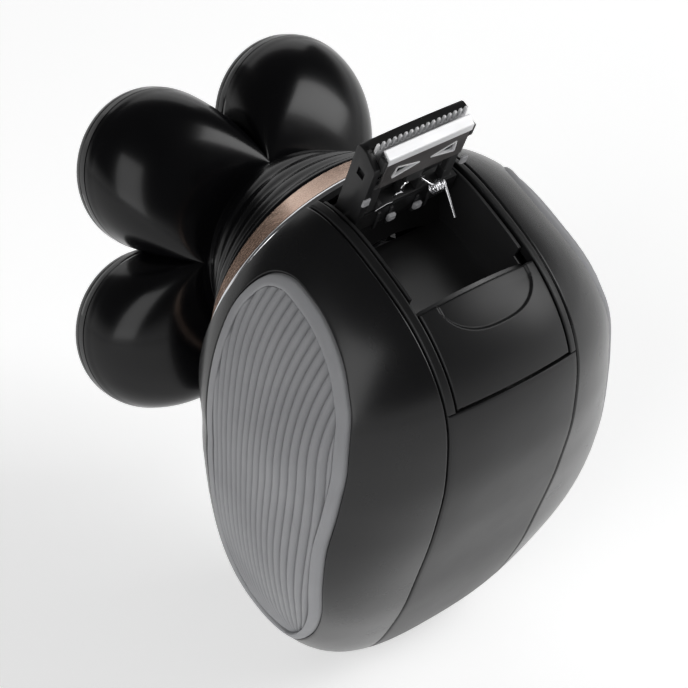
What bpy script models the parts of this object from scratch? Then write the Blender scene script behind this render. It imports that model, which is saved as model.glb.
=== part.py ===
"""Five-head rotary head shaver with a pop-up trimmer, as an assembly of separate parts.

Units in this file are millimetres; build_mesh() scales them to metres.
+Z is up, the head points to -Y, the palm side and the trimmer are at +Y, and +X is the left-hand side.
The origin is the centre of the foot's flat underside.
"""
import bpy
import bmesh
import math
import numpy as np
from mathutils import Matrix, Vector

MM = 0.001
GAP = 0.3

# body: an egg whose side outline is scaled down towards each flank; the roundness of that fall changes
# round the outline, and the outline is fixed at the seams between the flanks and the bands
SIDE_OUTLINE = [(-3, 99), (14, 96), (25, 90.5), (32.5, 81), (33.8, 68), (31.5, 53), (27, 37), (20.5, 19),
                (12.5, 4), (1.5, -2.3), (-7.5, 1), (-11.3, 13), (-13.3, 31), (-14.4, 46), (-17, 60),
                (-18.5, 78), (-12, 93.5)]
EGG_CENTRE = (5.0, 61.0)
EGG_HALF_WIDTH = 34.8
SEAM_SCALE = 0.9515
POWERS = [(-180, 2.68), (-150, 3.24), (-120, 3.1), (-95, 2.3), (-75, 2.9), (-55, 3.65), (-35, 3.15),
          (-12, 2.62), (15, 2.25), (50, 2.13), (90, 2.1), (135, 2.5)]
WALL = 2.4
BAND_HALF = 12.9
OPENING_TILT = 12.0
OPENING_TOP = (-3.0, 99.0)

# grip: a leaf outline seen from the side
LEAF_OUTLINE = [(4.4, 91.6), (9.6, 90.3), (14.3, 88.2), (18.6, 85.3), (21.6, 81.8), (23.5, 77.2),
                (24.3, 70.3), (23.9, 61.7), (23.0, 53), (21.9, 43.6), (20.2, 35), (17.1, 27.2),
                (13.6, 21.3), (9.8, 17.2), (6.6, 17.4), (4.0, 20.2), (1.6, 25), (-0.5, 32), (-1.8, 40),
                (-2.3, 48), (-2.2, 56), (-2.0, 64), (-2.1, 72), (-2.5, 80), (-2.3, 86), (0.2, 90.4)]
LEAF_CENTRE = (9.0, 62.0)
GRIP_DEPTH = 1.5
GRIP_CLEARANCE = 0.5

# head: its axis leaves the body at NECK and dips below the horizontal
NECK = (0.0, -25.7, 66.4)
HEAD_DIP = 22.0
NECK_RADIUS = 17.6
LOBES = 5
LOBE_CIRCLE = 24.0
LOBE_RADIUS = 14.2
RIM_OUT = 16.2
CAP_RADIUS = 11.2
GEAR_MODULE = 1.6
SUN_TEETH = 20
PLANET_TEETH = 10

# trimmer: local Y runs from the hinge to the comb, local Z points out of the closed cover
HINGE = (0.0, 1.6, 95.7)
OPEN_ANGLE = 68.7
ARM_HALF = 9.9
ARM_LENGTH = 16.6
ARM_TOP = 2.5
ARM_UNDERSIDE = -2.4

for old in list(bpy.data.objects):
    bpy.data.objects.remove(old)


def material(name, colour, roughness, metallic=0.0):
    mat = bpy.data.materials.new(name)
    mat.use_nodes = True
    shader = mat.node_tree.nodes["Principled BSDF"]
    shader.inputs["Base Color"].default_value = (*colour, 1.0)
    shader.inputs["Roughness"].default_value = roughness
    shader.inputs["Metallic"].default_value = metallic
    return mat


SATIN_BLACK = material("satin_black", (0.012, 0.012, 0.013), 0.32)
GLOSS_BLACK = material("gloss_black", (0.006, 0.006, 0.007), 0.08)
MATT_BLACK = material("matt_black", (0.02, 0.02, 0.021), 0.6)
GREY_RUBBER = material("grey_rubber", (0.27, 0.27, 0.28), 0.75)
ROSE_METAL = material("rose_metal", (0.72, 0.45, 0.33), 0.25, 1.0)
STEEL = material("steel", (0.62, 0.62, 0.64), 0.25, 1.0)
SPRING_STEEL = material("spring_steel", (0.7, 0.7, 0.72), 0.3, 1.0)
BATTERY_WRAP = material("battery_wrap", (0.05, 0.18, 0.35), 0.4)
BOARD_GREEN = material("board_green", (0.03, 0.16, 0.07), 0.5)
WHITE_PLASTIC = material("white_plastic", (0.75, 0.74, 0.7), 0.45)
BRASS = material("brass", (0.75, 0.55, 0.22), 0.35, 1.0)
CLEAR_BLUE = material("clear_blue", (0.1, 0.35, 0.8), 0.15)


def build_mesh(name, points, faces, mat, parent=None, place=(0, 0, 0), angle=35):
    """Make one object from points in millimetres, placed in its parent's frame."""
    mesh = bpy.data.meshes.new(name)
    mesh.from_pydata([Vector(p) * MM for p in points], [], faces)
    bm = bmesh.new()
    bm.from_mesh(mesh)
    bmesh.ops.recalc_face_normals(bm, faces=bm.faces)
    bm.to_mesh(mesh)
    bm.free()
    mesh.materials.append(mat)
    mesh.shade_smooth()
    mesh.set_sharp_from_angle(angle=math.radians(angle))
    obj = bpy.data.objects.new(name, mesh)
    bpy.context.collection.objects.link(obj)
    obj.parent = parent
    obj.location = Vector(place) * MM
    return obj


def frame_empty(name, place, tilt_about_x):
    empty = bpy.data.objects.new(name, None)
    bpy.context.collection.objects.link(empty)
    empty.location = Vector(place) * MM
    empty.rotation_euler = (math.radians(tilt_about_x), 0, 0)
    return empty


def loft(name, rings, mat, ring_of_rings=False, **where):
    """Skin a stack of closed rings with equal point counts; a ring of one point is a tip."""
    points = []
    starts = []
    for ring in rings:
        starts.append(len(points))
        points.extend(ring)
    faces = []
    pairs = list(zip(range(len(rings)), range(1, len(rings))))
    if ring_of_rings:
        pairs.append((len(rings) - 1, 0))
    for a, b in pairs:
        count_a, count_b = len(rings[a]), len(rings[b])
        for i in range(max(count_a, count_b)):
            j = (i + 1) % max(count_a, count_b)
            if count_a == 1:
                faces.append((starts[a], starts[b] + i, starts[b] + j))
            elif count_b == 1:
                faces.append((starts[a] + i, starts[a] + j, starts[b]))
            else:
                faces.append((starts[a] + i, starts[a] + j, starts[b] + j, starts[b] + i))
    if not ring_of_rings:
        for k in (0, len(rings) - 1):
            if len(rings[k]) > 1:
                faces.append(tuple(range(starts[k], starts[k] + len(rings[k]))))
    return build_mesh(name, points, faces, mat, **where)


def circle(radius, height, count=32, centre=(0.0, 0.0)):
    steps = [2 * math.pi * i / count for i in range(count)]
    return [(centre[0] + radius * math.cos(a), centre[1] + radius * math.sin(a), height) for a in steps]


def turned(name, profile, mat, count=32, tube=False, **where):
    """Turn a (radius, height) profile about local Z; a tube's profile closes on itself."""
    rings = [circle(r, z, count) if r > 0 else [(0, 0, z)] for r, z in profile]
    return loft(name, rings, mat, ring_of_rings=tube, **where)


def prism(name, outline, low, high, mat, axis="Z", **where):
    """Extrude an outline of (a, b) points along an axis, from low to high."""
    def place(a, b, c):
        return {"X": (c, a, b), "Y": (a, c, b), "Z": (a, b, c)}[axis]
    rings = [[place(a, b, level) for a, b in outline] for level in (low, high)]
    return loft(name, rings, mat, **where)


def block(name, low, high, mat, **where):
    outline = [(low[0], low[1]), (high[0], low[1]), (high[0], high[1]), (low[0], high[1])]
    return prism(name, outline, low[2], high[2], mat, **where)


def cut(target, cutter):
    """Subtract a guide solid, which stays in the file as a wire shape."""
    cutter.hide_render = True
    cutter.display_type = "WIRE"
    modifier = target.modifiers.new("cut_" + cutter.name, "BOOLEAN")
    modifier.operation = "DIFFERENCE"
    modifier.solver = "EXACT"
    modifier.object = cutter


def polar_table(outline, centre):
    """Sort outline points by their angle about a centre, as (angle, radius) pairs."""
    table = [(math.atan2(z - centre[1], y - centre[0]), math.hypot(y - centre[0], z - centre[1]))
             for y, z in outline]
    return sorted(table)


def radius_at(table, angle):
    """Smooth closed curve through a polar table, read at one angle."""
    count = len(table)
    turn = 2 * math.pi
    angle = (angle + math.pi) % turn - math.pi
    below = max((i for i in range(count) if table[i][0] <= angle), default=-1)

    def knot(i):
        a, r = table[i % count]
        return a + turn * (i // count), r
    (a0, r0), (a1, r1), (a2, r2), (a3, r3) = [knot(below + k) for k in (-1, 0, 1, 2)]
    span = a2 - a1
    t = (angle - a1) / span
    slope1 = (r2 - r0) / (a2 - a0) * span
    slope2 = (r3 - r1) / (a3 - a1) * span
    return ((2 * t**3 - 3 * t**2 + 1) * r1 + (t**3 - 2 * t**2 + t) * slope1
            + (-2 * t**3 + 3 * t**2) * r2 + (t**3 - t**2) * slope2)


def smooth_loop(points, steps=8):
    """Closed smooth curve through a loop of points."""
    loop = np.array(points, dtype=float)
    curve = []
    for i in range(len(loop)):
        a, b, c, d = [loop[(i + k) % len(loop)] for k in (-1, 0, 1, 2)]
        for k in range(steps):
            t = k / steps
            bend = 2 * a - 5 * b + 4 * c - d + t * (3 * b - a - 3 * c + d)
            curve.append(b + 0.5 * t * (c - a + t * bend))
    return curve


EGG_TABLE = polar_table(SIDE_OUTLINE, EGG_CENTRE)
POWER_TABLE = [(math.radians(degrees), power) for degrees, power in POWERS]
LEAF_TABLE = polar_table(smooth_loop(LEAF_OUTLINE), LEAF_CENTRE)


def side_angle(y, z):
    return math.atan2(z - EGG_CENTRE[1], y - EGG_CENTRE[0])


def egg_reach(angle):
    """Distance from the egg's centre to its middle line, and the power of its fall towards the flanks."""
    power = radius_at(POWER_TABLE, angle)
    seam_fall = (1 - (BAND_HALF / EGG_HALF_WIDTH)**power) ** (1 / power)
    return radius_at(EGG_TABLE, angle) * SEAM_SCALE / seam_fall, power


def egg_point(x, angle, inset=0.0):
    """Point of the egg, sunk by inset, at width x and at a side-view angle about the egg's centre."""
    middle, power = egg_reach(angle)
    share = min(abs(x) / (EGG_HALF_WIDTH - inset), 1.0)
    reach = (middle - inset) * (1 - share**power) ** (1 / power)
    return (x, EGG_CENTRE[0] + reach * math.cos(angle), EGG_CENTRE[1] + reach * math.sin(angle))


def egg_width(y, z, inset=0.0):
    """Half width of the egg, sunk by inset, at a point of the side view, or nothing outside its outline."""
    middle, power = egg_reach(side_angle(y, z))
    share = math.hypot(y - EGG_CENTRE[0], z - EGG_CENTRE[1]) / (middle - inset)
    return (EGG_HALF_WIDTH - inset) * (1 - min(share, 1.0)**power) ** (1 / power)


# ---------------------------------------------------------------- body shells and bands
SEAM_SHELL = BAND_HALF + GAP / 2
SEAM_BAND = BAND_HALF - GAP / 2
OPENING_NORMAL = Vector((0, -math.cos(math.radians(OPENING_TILT)), math.sin(math.radians(OPENING_TILT))))
OPENING_UP = Vector((0, math.sin(math.radians(OPENING_TILT)), math.cos(math.radians(OPENING_TILT))))


def opening_cutter(name, behind=0.0):
    """Half space in front of the body's opening plane, as a big block."""
    place = Vector((0, *OPENING_TOP)) - OPENING_NORMAL * behind
    frame = frame_empty(name + "_frame", place, 90 - OPENING_TILT)
    return block(name, (-60, -90, 0), (60, 40, 80), MATT_BLACK, parent=frame)


def side_shell(name, side):
    """Hollow flank from the band's seam out to the flank's pole."""
    turns = [2 * math.pi * i / 36 for i in range(36)]

    def ring(x, inset):
        return [egg_point(side * x, a, inset) for a in turns]
    rings = [[egg_point(side * EGG_HALF_WIDTH, 0.0)]]
    for share in (0.985, 0.94, 0.86, 0.74, 0.57):
        rings.append(ring(EGG_HALF_WIDTH * share, 0.0))
    rings.append(ring(SEAM_SHELL, 0.0))
    rings.append(ring(SEAM_SHELL, WALL))
    inner = EGG_HALF_WIDTH - WALL
    for share in (0.65, 0.86, 0.96):
        rings.append(ring(inner * share, WALL))
    rings.append([egg_point(side * inner, 0.0, WALL)])
    return loft(name, rings, SATIN_BLACK)


def band_patch(name, half, first, last, steps, outer, inner, mat, across=5):
    """Curved slab of the egg between two side-view angles, from one depth to another."""
    rings = []
    for i in range(steps + 1):
        angle = math.radians(first + (last - first) * i / steps)
        xs = [half * (2 * k / (across - 1) - 1) for k in range(across)]
        ring = [egg_point(x, angle, outer) for x in xs]
        ring += [egg_point(x, angle, inner) for x in reversed(xs)]
        rings.append(ring)
    return loft(name, rings, mat)


def leaf_patch(name, side, grow, outer, inner, mat, steps=40):
    """Curved slab of the flank inside the leaf outline."""
    turns = [2 * math.pi * i / steps - math.pi for i in range(steps)]

    def ring(share, inset):
        points = []
        for a in turns:
            reach = share * (radius_at(LEAF_TABLE, a) + grow)
            y = LEAF_CENTRE[0] + reach * math.cos(a)
            z = LEAF_CENTRE[1] + reach * math.sin(a)
            points.append((side * egg_width(y, z, inset), y, z))
        return points
    shares = (0.4, 0.7, 0.88, 1.0)
    rings = [[(side * egg_width(*LEAF_CENTRE, outer), *LEAF_CENTRE)]]
    rings += [ring(s, outer) for s in shares]
    rings += [ring(s, inner) for s in reversed(shares)]
    rings += [[(side * egg_width(*LEAF_CENTRE, inner), *LEAF_CENTRE)]]
    return loft(name, rings, mat)


front_space = opening_cutter("front_space")
for label, side in (("left", 1), ("right", -1)):
    shell = side_shell(label + "_shell", side)
    cut(shell, front_space)
    recess = leaf_patch(label + "_grip_recess", side, GRIP_CLEARANCE, -3.0, GRIP_DEPTH, MATT_BLACK)
    cut(shell, recess)
    leaf_patch(label + "_grip", side, 0.0, -0.5, GRIP_DEPTH - GRIP_CLEARANCE, GREY_RUBBER)

# the trimmer's window and thumb slider sit in the back band
FOOT_BACK = -86.0
FOOT_FRONT = -103.9
FOOT_SPLIT = 0.35
WINDOW_HALF = 11.3
BAY_FRONT = 101.3
WINDOW_FRONT = 125
SLIDER_TOP = math.degrees(side_angle(22.4, 91.6))
SLIDER_BOTTOM = math.degrees(side_angle(32.6, 79.6))

back_band = band_patch("back_band", SEAM_BAND, 118, FOOT_BACK + FOOT_SPLIT, 34, 0.0, WALL, SATIN_BLACK)
cut(back_band, front_space)
window = band_patch("trimmer_window", WINDOW_HALF, WINDOW_FRONT, SLIDER_BOTTOM - 0.5, 14, -3.0, 5.0,
                    MATT_BLACK)
cut(back_band, window)

front_band = band_patch("front_band", SEAM_BAND, FOOT_FRONT - FOOT_SPLIT, -168, 12, 0.0, WALL, SATIN_BLACK)
cut(front_band, front_space)

# the foot closes the bottom between the bands and is cut flat underneath
foot = band_patch("base_foot", SEAM_BAND, FOOT_BACK, FOOT_FRONT, 4, 0.0, 5.0, MATT_BLACK)
under_floor = block("under_floor", (-40, -40, -20), (40, 40, 0), MATT_BLACK)
cut(foot, under_floor)

# thumb slider: a curved cover with a shallow finger dish
slider = band_patch("trimmer_slider", WINDOW_HALF - 0.6, SLIDER_TOP, SLIDER_BOTTOM, 8, 0.15, WALL - 0.1,
                    SATIN_BLACK)
dish = turned("finger_dish", [(0, -0.9), (4.0, -0.55), (7.5, 0.6), (7.5, 4), (0, 4)], MATT_BLACK, 32)
dish.location = Vector((0, 24.0, 92.6)) * MM
dish.rotation_euler = (math.radians(-50), 0, 0)
cut(slider, dish)

# trimmer bay: a tub under the window
BAY_HALF = 10.95
BAY_WALL = 0.6
SLIDER_TRAVEL_ANGLE = 4.6
bay = band_patch("trimmer_bay", BAY_HALF, BAY_FRONT, SLIDER_TOP + 0.6, 10, 0.6, 12.6, MATT_BLACK)
bay_space = band_patch("bay_space", BAY_HALF - BAY_WALL, BAY_FRONT - 1.0, SLIDER_TOP + 1.8, 10, -2.0, 11.8,
                       MATT_BLACK)
cut(bay, bay_space)
slider_path = band_patch("slider_path", WINDOW_HALF, SLIDER_TOP + SLIDER_TRAVEL_ANGLE, SLIDER_TOP - 0.5, 4,
                         -3.0, WALL + 0.5, MATT_BLACK)
cut(bay, slider_path)
pin_hole = turned("pin_hole", [(0, -14), (1.05, -14), (1.05, 14), (0, 14)], MATT_BLACK, 16)
pin_hole.location = Vector(HINGE) * MM
pin_hole.rotation_euler = (0, math.radians(90), 0)
cut(bay, pin_hole)
pin = turned("hinge_pin", [(0, -10.8), (0.75, -10.8), (0.75, 10.8), (0, 10.8)], STEEL, 12)
pin.location = Vector(HINGE) * MM
pin.rotation_euler = (0, math.radians(90), 0)

# ---------------------------------------------------------------- head axis and its collars
head_frame = frame_empty("head_axis", NECK, 90 + HEAD_DIP)
HEAD_OUT = Vector((0, -math.cos(math.radians(HEAD_DIP)), -math.sin(math.radians(HEAD_DIP))))
HEAD_UP = Vector((0, -math.sin(math.radians(HEAD_DIP)), math.cos(math.radians(HEAD_DIP))))


def head_point(x, up, out):
    return Vector(NECK) + Vector((x, 0, 0)) + HEAD_UP * up + HEAD_OUT * out


OPENING_CENTRE = Vector((0, -7.9, 76.0))


def opening_ring(inset, behind, shrink=0.0, count=40):
    """Outline of the egg sunk by an inset, in a plane behind the opening, then shrunk in that plane."""
    origin = OPENING_CENTRE - OPENING_NORMAL * behind
    ring = []
    for i in range(count):
        a = 2 * math.pi * i / count
        direction = Vector((math.sin(a), 0, 0)) + OPENING_UP * math.cos(a)
        low, high = 0.0, 60.0
        for _ in range(40):
            middle = (low + high) / 2
            p = origin + direction * middle
            inside = abs(p.x) < egg_width(p.y, p.z, inset)
            low, high = (middle, high) if inside else (low, middle)
        ring.append(origin + direction * (low - shrink))
    return ring


def head_circle(radius, out, count=40):
    steps = [2 * math.pi * i / count for i in range(count)]
    return [head_point(radius * math.sin(a), radius * math.cos(a), out) for a in steps]


def tilted_circle(radius, centre, normal_tilt, count=40):
    """Circle whose axis is tilted up from -Y, starting at its top."""
    tilt = math.radians(normal_tilt)
    up = Vector((0, math.sin(tilt), math.cos(tilt)))
    steps = [2 * math.pi * i / count for i in range(count)]
    return [centre + Vector((radius * math.sin(a), 0, 0)) + up * radius * math.cos(a) for a in steps]


SEAT_HOLE = 13.5
SEAT_CENTRE = Vector((0, -8.2, 72.4))
SEAT_DEPTHS = (0.2, 1.2)
seat_rings = [opening_ring(WALL + 1.1, depth) for depth in SEAT_DEPTHS]
seat_rings += [tilted_circle(SEAT_HOLE, SEAT_CENTRE - OPENING_NORMAL * depth, OPENING_TILT)
               for depth in reversed(SEAT_DEPTHS)]
loft("collar_seat", seat_rings, MATT_BLACK, ring_of_rings=True)
collar_rings = [opening_ring(0, -0.4, 2.2), opening_ring(0, -1.2, 0.8), head_circle(19.2, -4.5),
                head_circle(17.9, -4.5), opening_ring(0, -0.4, 3.6)]
loft("collar_ring", collar_rings, ROSE_METAL, ring_of_rings=True)

# ---------------------------------------------------------------- drive inside the body
turned("motor_can", [(0, -30), (7.1, -30), (7.8, -29.3), (7.8, -12.5), (0, -12.5)], STEEL, 24,
       parent=head_frame)
turned("motor_mount", [(11, -12.2), (11, -10.4), (3.3, -10.4), (3.3, -12.2)], WHITE_PLASTIC, 24, tube=True,
       parent=head_frame)
turned("motor_shaft", [(0, -12.2), (1.0, -12.2), (1.0, -6), (2.6, -6), (2.6, 10.8), (0, 10.8)], STEEL, 12,
       parent=head_frame)
for number, angle in enumerate((0, 180), 1):
    x = 7.0 * math.cos(math.radians(angle))
    turned(f"mount_screw_{number}", [(0, -10.1), (1.0, -10.1), (1.6, -9.6), (1.6, -9.0), (0, -9.0)],
           STEEL, 12, parent=head_frame, place=(x, 0, 0))
turned("battery_cell", [(0, 25), (6.4, 25), (7.0, 25.6), (7.0, 61.4), (6.4, 62), (2.2, 62), (2.2, 62.8),
                        (0, 62.8)], BATTERY_WRAP, 20, place=(0, 12.5, 0))
block("circuit_board", (-10, -4.2, 20), (10, -2.8, 50), BOARD_GREEN)
BUTTON_HEIGHT = 29.0
block("tactile_switch", (-2.6, -7.6, BUTTON_HEIGHT - 2.6), (2.6, -4.5, BUTTON_HEIGHT + 2.6), MATT_BLACK)


def along_front(name, profile, height, mat, count=24, tube=False):
    """Turned piece on a front-to-back axis at a height; profile heights are -Y distances."""
    piece = turned(name, profile, mat, count, tube=tube)
    piece.location = Vector((0, 0, height)) * MM
    piece.rotation_euler = (math.radians(90), 0, 0)
    return piece


# power button in the front band, with its stem ahead of the switch
button_hole = along_front("button_hole", [(0, 8), (5.7, 8), (5.7, 26), (0, 26)], BUTTON_HEIGHT, MATT_BLACK)
cut(front_band, button_hole)
along_front("power_button", [(0, 9.0), (1.8, 9.0), (1.8, 10.4), (5.2, 10.4), (5.2, 12.2), (4.4, 12.9),
                             (0, 13.2)], BUTTON_HEIGHT, SATIN_BLACK)
LENS_HEIGHT = 38.5
lens_hole = along_front("lens_hole", [(0, 8), (1.5, 8), (1.5, 26), (0, 26)], LENS_HEIGHT, MATT_BLACK, 16)
cut(front_band, lens_hole)
along_front("indicator_lens", [(0, 11.2), (1.15, 11.2), (1.15, 13.3), (0, 13.3)], LENS_HEIGHT,
            CLEAR_BLUE, 16)

# charging socket low on the front
SOCKET_HEIGHT = 14.0
socket_hole = along_front("socket_hole", [(0, 1), (4.6, 1), (4.6, 22), (0, 22)], SOCKET_HEIGHT, MATT_BLACK)
cut(front_band, socket_hole)
along_front("charging_socket", [(0, 2.0), (4.3, 2.0), (4.3, 10.2), (2.9, 10.2), (2.9, 2.9), (0, 2.9)],
            SOCKET_HEIGHT, MATT_BLACK)
along_front("socket_pin", [(0, 3.2), (0.6, 3.2), (0.6, 8.8), (0, 8.8)], SOCKET_HEIGHT, BRASS, 10)


# ---------------------------------------------------------------- head
def lobe_angle(number):
    return math.radians(54 + 360 / LOBES * number)


def flower_radius(angle, grow=0.0):
    """Outline of five overlapping circles about the head axis."""
    step = 2 * math.pi / LOBES
    away = (angle - lobe_angle(0) + step / 2) % step - step / 2
    radius = LOBE_RADIUS + grow
    under = max(radius**2 - (LOBE_CIRCLE * math.sin(away))**2, 0.0)
    return LOBE_CIRCLE * math.cos(away) + math.sqrt(under)


FLOWER_STEPS = 50


def flower_ring(share, root, grow, height):
    """Ring between a round root and the flower outline."""
    ring = []
    for i in range(FLOWER_STEPS):
        a = lobe_angle(0) + 2 * math.pi * i / FLOWER_STEPS
        r = root + (flower_radius(a, grow) - root) * share
        ring.append((r * math.cos(a), r * math.sin(a), height))
    return ring


def dome_rings(root, root_out, grow, steps):
    """Quarter-round domes from the hub out to the rim."""
    rings = []
    for k in range(1, steps + 1):
        s = math.pi / 2 * k / steps
        height = root_out + (RIM_OUT - root_out) * (1 - math.cos(s))
        rings.append(flower_ring(math.sin(s), root, grow, height))
    return rings


def neck_ring(radius, out):
    return flower_ring(0.0, radius, 0.0, out)


outer = [neck_ring(r, z) for r, z in ((15.6, -7), (15.6, -3.3), (NECK_RADIUS, -3.3), (NECK_RADIUS, -0.8),
                                      (16.7, -0.8), (17.0, 0.6))]
outer += dome_rings(17.0, 0.6, 0.0, 5)
inner = [neck_ring(13.6, -7), neck_ring(13.6, 2.2)] + dome_rings(15.2, 2.6, -1.6, 3)
housing = loft("head_housing", outer + inner[::-1], GLOSS_BLACK, ring_of_rings=True, parent=head_frame)

plate = loft("head_front_plate", [flower_ring(1, 10, -0.1, 16.5), flower_ring(1, 10, -0.1, 17.6),
                                  flower_ring(1, 10, -0.6, 18.1)], GLOSS_BLACK, parent=head_frame)
carrier_rings = [flower_ring(0.9, 15.0, -2.4, height) for height in (12.1, 13.1)]
carrier = loft("gear_retaining_plate", carrier_rings, WHITE_PLASTIC, parent=head_frame)
shaft_hole = turned("shaft_hole", [(0, 10), (3.4, 10), (3.4, 15), (0, 15)], MATT_BLACK, 16, parent=head_frame)
cut(carrier, shaft_hole)


def gear_outline(teeth, height, phase, addendum=0.9, dedendum=1.3):
    """Toothed ring with straight flanks; phase turns a tooth centre onto that angle."""
    pitch = GEAR_MODULE * teeth / 2
    step = 2 * math.pi / teeth
    ring = []
    for t in range(teeth):
        middle = phase + t * step
        for share, radius in ((-0.27, pitch - dedendum), (-0.12, pitch + addendum),
                              (0.12, pitch + addendum), (0.27, pitch - dedendum)):
            a = middle + share * step
            ring.append((radius * math.cos(a), radius * math.sin(a), height))
    return ring


def same_count_circle(radius, height, ring):
    angles = [math.atan2(y, x) for x, y, _ in ring]
    return [(radius * math.cos(a), radius * math.sin(a), height) for a in angles]


GEAR_LOW, GEAR_HIGH = 9.2, 11.7
sun_low = gear_outline(SUN_TEETH, GEAR_LOW, 0.0)
sun_high = gear_outline(SUN_TEETH, GEAR_HIGH, 0.0)
loft("sun_gear", [sun_low, sun_high, same_count_circle(3.1, GEAR_HIGH, sun_high),
                  same_count_circle(3.1, GEAR_LOW, sun_low)], WHITE_PLASTIC, ring_of_rings=True,
     parent=head_frame, angle=20)

for number in range(LOBES):
    name = str(number + 1)
    spot = (LOBE_CIRCLE * math.cos(lobe_angle(number)), LOBE_CIRCLE * math.sin(lobe_angle(number)), 0)
    cap_hole = turned("cap_hole_" + name, [(0, 15), (CAP_RADIUS + 0.5, 15), (CAP_RADIUS + 0.5, 20), (0, 20)],
                      MATT_BLACK, 24, parent=head_frame, place=spot)
    cut(plate, cap_hole)
    spindle_hole = turned("spindle_hole_" + name, [(0, 11), (2.8, 11), (2.8, 14), (0, 14)], MATT_BLACK, 12,
                          parent=head_frame, place=spot)
    cut(carrier, spindle_hole)
    turned("cutter_cap_" + name, [(0, 19.8), (10.2, 19.5), (CAP_RADIUS, 18.8), (CAP_RADIUS, 15.0),
                                  (10.4, 15.0), (10.4, 18.8), (0, 18.8)], STEEL, 24,
           parent=head_frame, place=spot)

    # nearest sun tooth to the line of centres sets how the planet must be turned
    sun_step = 2 * math.pi / SUN_TEETH
    miss = round(lobe_angle(number) / sun_step) * sun_step - lobe_angle(number)
    gap_angle = lobe_angle(number) + math.pi - miss * SUN_TEETH / PLANET_TEETH
    phase = gap_angle + math.pi / PLANET_TEETH
    low = gear_outline(PLANET_TEETH, GEAR_LOW, phase)
    high = gear_outline(PLANET_TEETH, GEAR_HIGH, phase)
    loft("drive_gear_" + name, [low, high, same_count_circle(2.2, GEAR_HIGH, high),
                                same_count_circle(2.2, 17.0, high)], WHITE_PLASTIC,
         parent=head_frame, place=spot, angle=20)

    blades = 9
    star = []
    for i in range(blades * 4):
        a = 2 * math.pi * i / (blades * 4)
        star.append((9.8 if i % 4 in (1, 2) else 7.2, a))
    star_low = [(r * math.cos(a), r * math.sin(a), 16.4) for r, a in star]
    star_high = [(r * math.cos(a), r * math.sin(a), 18.5) for r, a in star]
    loft("inner_cutter_" + name, [star_low, star_high, same_count_circle(2.7, 18.5, star_high),
                                  same_count_circle(2.7, 16.4, star_low)], STEEL, ring_of_rings=True,
         parent=head_frame, place=spot, angle=20)


# ---------------------------------------------------------------- pop-up trimmer, in its hinge's frame
trimmer_frame = frame_empty("trimmer_axis", HINGE, OPEN_ANGLE)
BASE_RADIUS = 2.5
ARM_WALL = 1.2
base_arc = [(-BASE_RADIUS * math.sin(math.radians(a)), BASE_RADIUS * math.cos(math.radians(a)))
            for a in range(0, 181, 20)]
arm_outline = base_arc + [(ARM_LENGTH - 1.6, ARM_UNDERSIDE), (ARM_LENGTH, 0.4), (ARM_LENGTH, 2.0),
                          (ARM_LENGTH - 0.6, ARM_TOP)]
arm = prism("trimmer_arm", arm_outline, -ARM_HALF, ARM_HALF, SATIN_BLACK, axis="X", parent=trimmer_frame)
arm_space = block("arm_space", (ARM_WALL - ARM_HALF, 3.0, -6), (ARM_HALF - ARM_WALL, 22, ARM_TOP - ARM_WALL),
                  MATT_BLACK, parent=trimmer_frame)
cut(arm, arm_space)
arm_bore = turned("arm_bore", [(0, -14), (1.05, -14), (1.05, 14), (0, 14)], MATT_BLACK, 16,
                  parent=trimmer_frame)
arm_bore.rotation_euler = (0, math.radians(90), 0)
cut(arm, arm_bore)


def toothed_plate(name, half, back, root, tip, teeth, low, high, mat):
    """Flat plate with a row of square-ended teeth along its front edge."""
    pitch = 2 * half / (teeth - 0.5)
    outline = [(-half, back), (half, back)]
    for k in range(teeth):
        right = half - k * pitch
        left = right - pitch / 2
        outline += [(right, tip), (left, tip)]
        if k < teeth - 1:
            outline += [(left, root), (left - pitch / 2, root)]
    return prism(name, outline, low, high, mat, parent=trimmer_frame)


toothed_plate("trimmer_comb", 8.5, 10.0, 16.9, 18.2, 17, -0.1, 0.35, STEEL)
toothed_plate("trimmer_blade", 7.6, 9.7, 15.9, 17.0, 13, -0.95, -0.45, STEEL)
block("drive_fork", (-1.6, 7.0, -2.1), (1.6, 9.4, -0.5), WHITE_PLASTIC, parent=trimmer_frame)

cover = prism("blade_cover", [(10.2, -2.6), (17.4, -2.6), (18.0, -1.1), (17.55, -0.95), (17.05, -2.15),
                              (10.2, -2.15)], -8.0, 8.0, STEEL, axis="X", parent=trimmer_frame)
for label, side in (("left", 1), ("right", -1)):
    corners = [(side * 1.0, 12.6), (side * 5.8, 12.0), (side * 5.8, 14.6)]
    pane = prism("cover_window_" + label, corners, -4, 0, MATT_BLACK, parent=trimmer_frame)
    cut(cover, pane)
for label, middle in (("left", 3.1), ("right", -2.0)):
    block("rest_pad_" + label, (middle - 1.3, -0.4, -3.5), (middle + 1.3, 1.8, -2.85), GREY_RUBBER,
          parent=trimmer_frame)


def wire(name, path, radius, sides, mat, **where):
    """Sweep a round wire along a path, carrying its frame from point to point."""
    path = [Vector(p) for p in path]
    normal = (path[1] - path[0]).orthogonal().normalized()
    rings = []
    for i, point in enumerate(path):
        ahead = path[min(i + 1, len(path) - 1)] - path[max(i - 1, 0)]
        ahead.normalize()
        normal = (normal - ahead * normal.dot(ahead)).normalized()
        across = ahead.cross(normal)
        rings.append([tuple(point + (normal * math.cos(2 * math.pi * k / sides)
                                     + across * math.sin(2 * math.pi * k / sides)) * radius)
                      for k in range(sides)])
    return loft(name, rings, mat, **where)


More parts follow.
